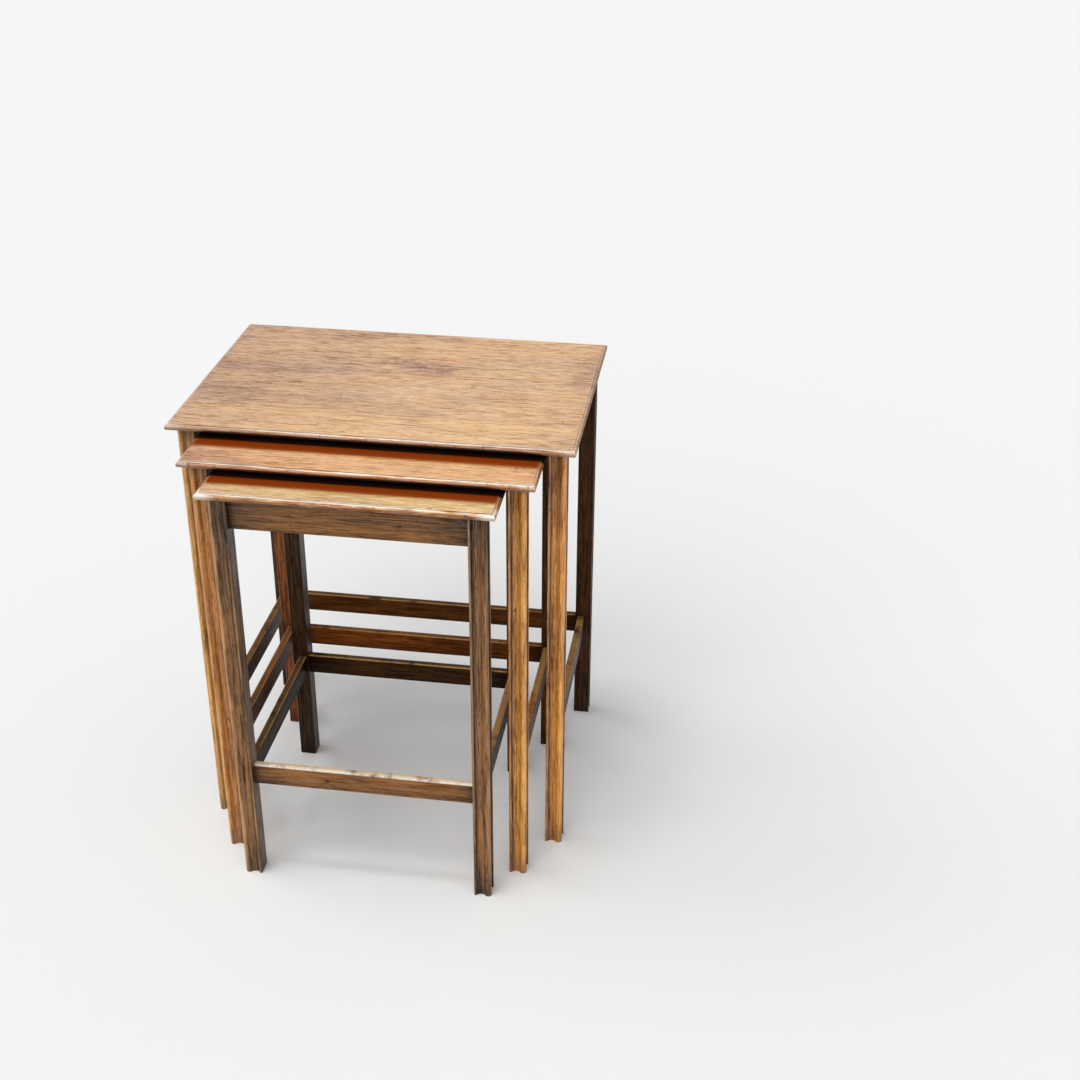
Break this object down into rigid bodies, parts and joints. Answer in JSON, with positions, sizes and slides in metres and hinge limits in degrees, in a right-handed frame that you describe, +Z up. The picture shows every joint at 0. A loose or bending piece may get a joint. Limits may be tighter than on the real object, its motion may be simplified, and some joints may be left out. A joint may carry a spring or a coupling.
{
  "type": "nesting tables",
  "caption": "Nest of wooden tables that slide under one another, each with a thumb-moulded top, moulded legs, rails under the top and low stretchers.",
  "frame": {"origin": "on the floor, under the middle of the box around the whole nest as it stands in the picture", "axes": "+Z up, -Y towards the front, the way the smaller tables draw out, +X to the right seen from the front"},
  "size_m": [0.52, 0.479, 0.612],
  "materials": {
    "top_wood": "semi-gloss polish over figured reddish-brown wood",
    "leg_wood": "satin polish, worn lighter on the arrises",
    "rail_wood": "satin polish",
    "stretcher_wood": "satin polish, worn on the upper arrises",
    "screw_metal": "dull"
  },
  "bodies": {
    "large_table": {"large_top": "top_wood", "large_leg_front_left": "leg_wood", "large_leg_front_right": "leg_wood", "large_leg_back_left": "leg_wood", "large_leg_back_right": "leg_wood", "large_rail_left": "rail_wood", "large_rail_right": "rail_wood", "large_rail_back": "rail_wood", "large_stretcher_left": "stretcher_wood", "large_stretcher_right": "stretcher_wood", "large_stretcher_back": "stretcher_wood", "large_top_screws": "screw_metal"},
    "medium_table": {"medium_top": "top_wood", "medium_leg_front_left": "leg_wood", "medium_leg_front_right": "leg_wood", "medium_leg_back_left": "leg_wood", "medium_leg_back_right": "leg_wood", "medium_rail_left": "rail_wood", "medium_rail_right": "rail_wood", "medium_rail_back": "rail_wood", "medium_stretcher_left": "stretcher_wood", "medium_stretcher_right": "stretcher_wood", "medium_stretcher_back": "stretcher_wood", "medium_top_screws": "screw_metal"},
    "small_table": {"small_top": "top_wood", "small_leg_front_left": "leg_wood", "small_leg_front_right": "leg_wood", "small_leg_back_left": "leg_wood", "small_leg_back_right": "leg_wood", "small_rail_left": "rail_wood", "small_rail_right": "rail_wood", "small_rail_back": "rail_wood", "small_rail_front": "rail_wood", "small_stretcher_left": "stretcher_wood", "small_stretcher_right": "stretcher_wood", "small_stretcher_back": "stretcher_wood", "small_stretcher_front": "stretcher_wood", "small_top_screws": "screw_metal"}
  },
  "joints": [
    {"name": "medium_slide", "type": "slide", "parent": "large_table", "child": "medium_table", "axis": [0, -1, 0], "range_m": [-0.072, 0.27]},
    {"name": "small_slide", "type": "slide", "parent": "medium_table", "child": "small_table", "axis": [0, -1, 0], "range_m": [-0.053, 0.265]}
  ]
}
